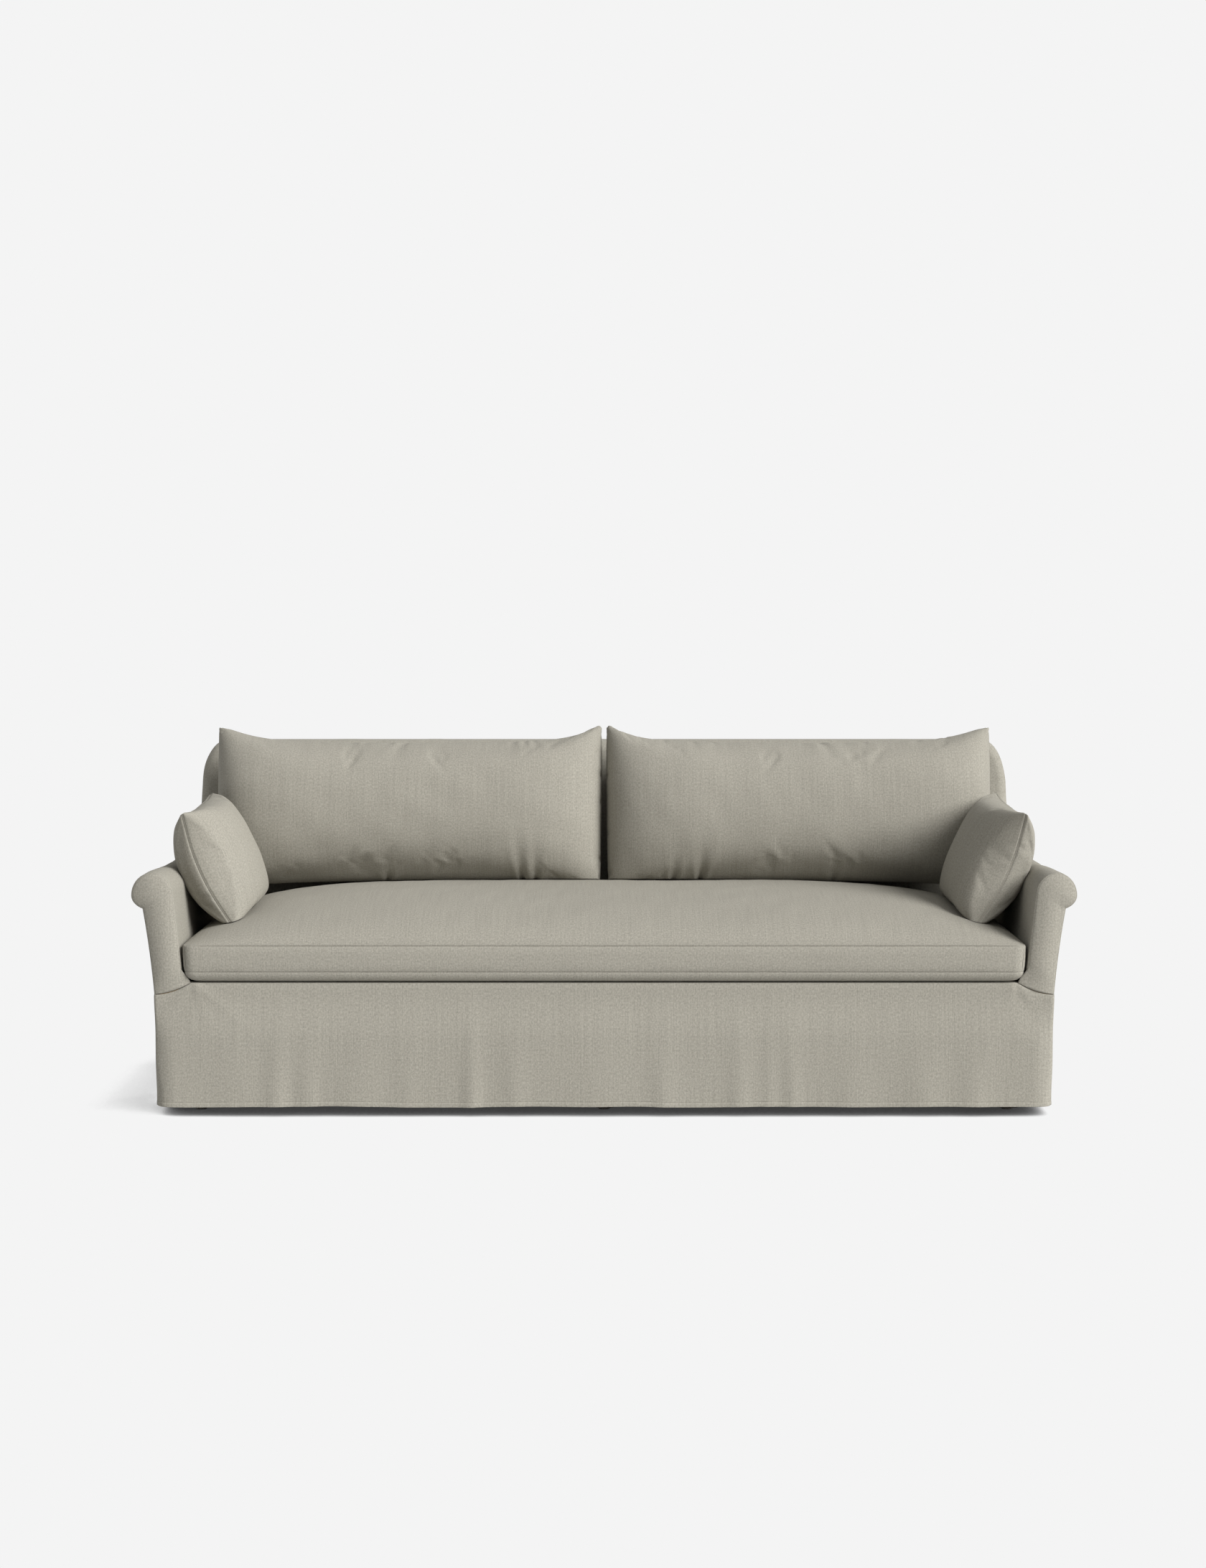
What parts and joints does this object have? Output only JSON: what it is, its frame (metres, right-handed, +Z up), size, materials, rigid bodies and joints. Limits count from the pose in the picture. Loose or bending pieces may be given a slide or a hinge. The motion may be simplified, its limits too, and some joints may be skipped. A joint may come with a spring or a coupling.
{
  "type": "slipcovered sofa",
  "caption": "Slipcovered sofa with rolled arms that lean outwards, a skirt, a bench seat cushion, and loose back cushions and lumbar pillows.",
  "frame": {"origin": "on the floor, at the middle of the sofa's box", "axes": "+X across the sofa to the right as seen from the front, +Y from the front to the back, +Z up"},
  "size_m": [2.3366, 0.9522, 0.9369],
  "materials": {
    "linen": "slubby plain weave in oatmeal grey",
    "wadding": "felted cotton wadding",
    "cambric": "black non-woven dust cloth",
    "hardwood": "planed, unfinished",
    "leg_wood": "dark stain, satin",
    "spring_steel": "drawn wire, lightly oiled",
    "nylon": "moulded"
  },
  "bodies": {
    "frame": {"arm_cover_left": "linen", "arm_cover_right": "linen", "arm_front_panel_left": "linen", "arm_front_panel_right": "linen", "arm_padding_left": "wadding", "arm_padding_right": "wadding", "arm_scroll_board_front_left": "hardwood", "arm_scroll_board_front_right": "hardwood", "arm_scroll_board_back_left": "hardwood", "arm_scroll_board_back_right": "hardwood", "arm_roll_core_left": "hardwood", "arm_roll_core_right": "hardwood", "arm_bottom_rail_left": "hardwood", "arm_bottom_rail_right": "hardwood", "back_cover": "linen", "back_padding": "wadding", "outside_back_panel": "linen", "back_top_rail": "hardwood", "back_post_left": "hardwood", "back_post_centre": "hardwood", "back_post_right": "hardwood", "back_stile_left": "hardwood", "back_stile_right": "hardwood", "front_rail": "hardwood", "back_rail": "hardwood", "side_rail_left": "hardwood", "side_rail_right": "hardwood", "seat_stretcher": "hardwood", "corner_block_front_left": "hardwood", "corner_block_front_right": "hardwood", "corner_block_back_left": "hardwood", "corner_block_back_right": "hardwood", "dust_cover": "cambric", "leg_front_left": "leg_wood", "leg_front_centre": "leg_wood", "leg_front_right": "leg_wood", "leg_back_left": "leg_wood", "leg_back_centre": "leg_wood", "leg_back_right": "leg_wood", "glide_front_left": "nylon", "glide_front_centre": "nylon", "glide_front_right": "nylon", "glide_back_left": "nylon", "glide_back_centre": "nylon", "glide_back_right": "nylon", "seat_springs": "spring_steel", "seat_edge_roll": "wadding", "deck_pad": "wadding", "deck_cover": "linen", "skirt_front": "linen", "skirt_back": "linen", "skirt_side_left": "linen", "skirt_side_right": "linen"},
    "seat": {"seat_cushion": "linen"},
    "back_left": {"back_cushion_left": "linen"},
    "back_right": {"back_cushion_right": "linen"},
    "pillow_left": {"lumbar_pillow_left": "linen"},
    "pillow_right": {"lumbar_pillow_right": "linen"}
  },
  "joints": [
    {"name": "seat_cushion_lift", "type": "slide", "parent": "frame", "child": "seat", "axis": [0, 0, 1], "range_m": [0, 0.3]},
    {"name": "back_cushion_left_lift", "type": "slide", "parent": "seat", "child": "back_left", "axis": [0, 0, 1], "range_m": [0, 0.4]},
    {"name": "back_cushion_right_lift", "type": "slide", "parent": "seat", "child": "back_right", "axis": [0, 0, 1], "range_m": [0, 0.4]},
    {"name": "lumbar_pillow_left_lift", "type": "slide", "parent": "seat", "child": "pillow_left", "axis": [0, -0.2079, 0.9781], "range_m": [0, 0.3]},
    {"name": "lumbar_pillow_right_lift", "type": "slide", "parent": "seat", "child": "pillow_right", "axis": [0, -0.2079, 0.9781], "range_m": [0, 0.3]}
  ]
}
